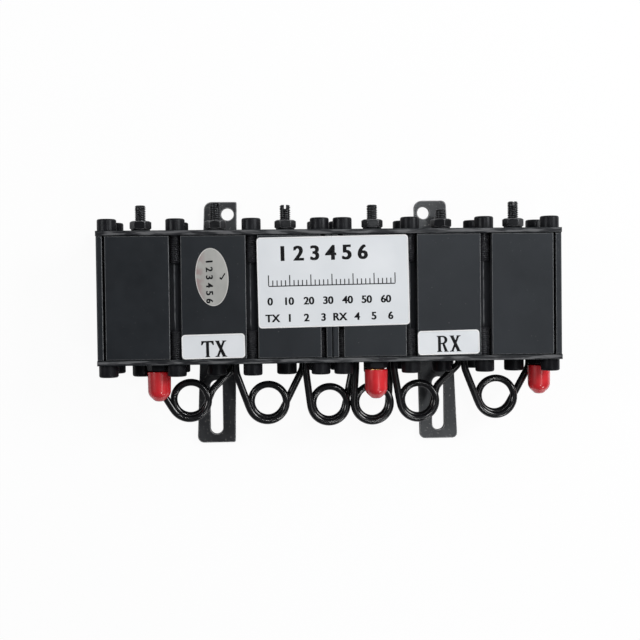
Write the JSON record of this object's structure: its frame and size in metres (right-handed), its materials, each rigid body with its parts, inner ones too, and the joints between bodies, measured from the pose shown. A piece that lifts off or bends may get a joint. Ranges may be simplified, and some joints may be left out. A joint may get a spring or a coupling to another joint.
{
  "type": "rf duplexer",
  "caption": "Compact notch duplexer: black cavity blocks between end plates, slotted tuning screws, capped coaxial ports, looped phasing cables and rear mounting straps.",
  "frame": {"origin": "middle of the two straps' footprint, on the flat surface they are screwed to", "axes": "+X along the row of cavities towards the RX port, +Y towards the tuning screws, +Z out of the labelled front"},
  "size_m": [0.17, 0.0936, 0.032],
  "materials": {
    "black_body": "satin black sprayed coat",
    "black_plate": "satin black sprayed coat, worn at the edges",
    "black_screws": "black oxide under a sprayed coat",
    "black_tuning_screw": "black, worn on the thread",
    "black_nut": "black sprayed coat",
    "black_brass": "black sprayed coat",
    "bright_brass": "turned",
    "silvered_copper": "silver-plated",
    "black_strap": "satin black powder coat",
    "black_cable": "semi-gloss sleeve",
    "gold_connector": "gold-plated barrel, black hexagon",
    "gold_contact": "gold-plated",
    "white_insulator": "matte",
    "red_cap": "soft glossy vinyl",
    "white_label": "semi-gloss film",
    "silver_sticker": "metallised film"
  },
  "bodies": {
    "housing": {"body_block_tx": "black_body", "body_block_rx": "black_body", "tuning_plate": "black_plate", "connector_plate": "black_plate", "tuning_plate_screws": "black_screws", "connector_plate_screws": "black_screws", "resonator_screws": "black_screws", "strap_screws": "black_screws", "tuning_bushings": "black_brass", "resonator_posts": "bright_brass", "coupling_leads": "silvered_copper", "left_strap": "black_strap", "right_strap": "black_strap", "main_label": "white_label", "tx_label": "white_label", "rx_label": "white_label", "oval_sticker": "silver_sticker", "resonator_coil_1": "silvered_copper", "coax_loop_1": "black_cable", "resonator_coil_2": "silvered_copper", "coax_loop_2": "black_cable", "resonator_coil_3": "silvered_copper", "coax_loop_3": "black_cable", "resonator_coil_4": "silvered_copper", "coax_loop_4": "black_cable", "resonator_coil_5": "silvered_copper", "coax_loop_5": "black_cable", "resonator_coil_6": "silvered_copper", "coax_loop_6": "black_cable", "tx_connector": "gold_connector", "tx_insulator": "white_insulator", "tx_contact": "gold_contact", "antenna_connector": "gold_connector", "antenna_insulator": "white_insulator", "antenna_contact": "gold_contact", "rx_connector": "gold_connector", "rx_insulator": "white_insulator", "rx_contact": "gold_contact"},
    "tuning_screw_1": {"tuning_screw_1": "black_tuning_screw"},
    "tuning_screw_2": {"tuning_screw_2": "black_tuning_screw"},
    "tuning_screw_3": {"tuning_screw_3": "black_tuning_screw"},
    "tuning_screw_4": {"tuning_screw_4": "black_tuning_screw"},
    "tuning_screw_5": {"tuning_screw_5": "black_tuning_screw"},
    "tuning_screw_6": {"tuning_screw_6": "black_tuning_screw"},
    "lock_nut_1": {"lock_nut_1": "black_nut"},
    "lock_nut_2": {"lock_nut_2": "black_nut"},
    "lock_nut_3": {"lock_nut_3": "black_nut"},
    "lock_nut_4": {"lock_nut_4": "black_nut"},
    "lock_nut_5": {"lock_nut_5": "black_nut"},
    "lock_nut_6": {"lock_nut_6": "black_nut"},
    "tx_dust_cap": {"tx_dust_cap": "red_cap"},
    "antenna_dust_cap": {"antenna_dust_cap": "red_cap"},
    "rx_dust_cap": {"rx_dust_cap": "red_cap"}
  },
  "joints": [
    {"name": "tuning_screw_1_slide", "type": "slide", "parent": "housing", "child": "tuning_screw_1", "axis": [0, 1, 0], "range_m": [-0.0055, 0.0049]},
    {"name": "tuning_screw_2_slide", "type": "slide", "parent": "housing", "child": "tuning_screw_2", "axis": [0, 1, 0], "range_m": [-0.0064, 0.004]},
    {"name": "tuning_screw_3_slide", "type": "slide", "parent": "housing", "child": "tuning_screw_3", "axis": [0, 1, 0], "range_m": [-0.00535, 0.00505]},
    {"name": "tuning_screw_4_slide", "type": "slide", "parent": "housing", "child": "tuning_screw_4", "axis": [0, 1, 0], "range_m": [-0.0052, 0.0052]},
    {"name": "tuning_screw_5_slide", "type": "slide", "parent": "housing", "child": "tuning_screw_5", "axis": [0, 1, 0], "range_m": [-0.00345, 0.00695]},
    {"name": "tuning_screw_6_slide", "type": "slide", "parent": "housing", "child": "tuning_screw_6", "axis": [0, 1, 0], "range_m": [-0.0061, 0.0043]},
    {"name": "lock_nut_1_turn", "type": "hinge", "parent": "housing", "child": "lock_nut_1", "pos_m": [-0.0703, 0.0353, 0.017], "axis": [0, 1, 0], "range_deg": [0, 180]},
    {"name": "lock_nut_2_turn", "type": "hinge", "parent": "housing", "child": "lock_nut_2", "pos_m": [-0.0426, 0.0353, 0.017], "axis": [0, 1, 0], "range_deg": [0, 180]},
    {"name": "lock_nut_3_turn", "type": "hinge", "parent": "housing", "child": "lock_nut_3", "pos_m": [-0.0164, 0.0353, 0.017], "axis": [0, 1, 0], "range_deg": [0, 180]},
    {"name": "lock_nut_4_turn", "type": "hinge", "parent": "housing", "child": "lock_nut_4", "pos_m": [0.0164, 0.0353, 0.017], "axis": [0, 1, 0], "range_deg": [0, 180]},
    {"name": "lock_nut_5_turn", "type": "hinge", "parent": "housing", "child": "lock_nut_5", "pos_m": [0.0426, 0.0353, 0.017], "axis": [0, 1, 0], "range_deg": [0, 180]},
    {"name": "lock_nut_6_turn", "type": "hinge", "parent": "housing", "child": "lock_nut_6", "pos_m": [0.0703, 0.0353, 0.017], "axis": [0, 1, 0], "range_deg": [0, 180]},
    {"name": "tx_dust_cap_slide", "type": "slide", "parent": "housing", "child": "tx_dust_cap", "axis": [0, -1, 0], "range_m": [0, 0.012]},
    {"name": "antenna_dust_cap_slide", "type": "slide", "parent": "housing", "child": "antenna_dust_cap", "axis": [0, -1, 0], "range_m": [0, 0.012]},
    {"name": "rx_dust_cap_slide", "type": "slide", "parent": "housing", "child": "rx_dust_cap", "axis": [0, -1, 0], "range_m": [0, 0.012]}
  ]
}
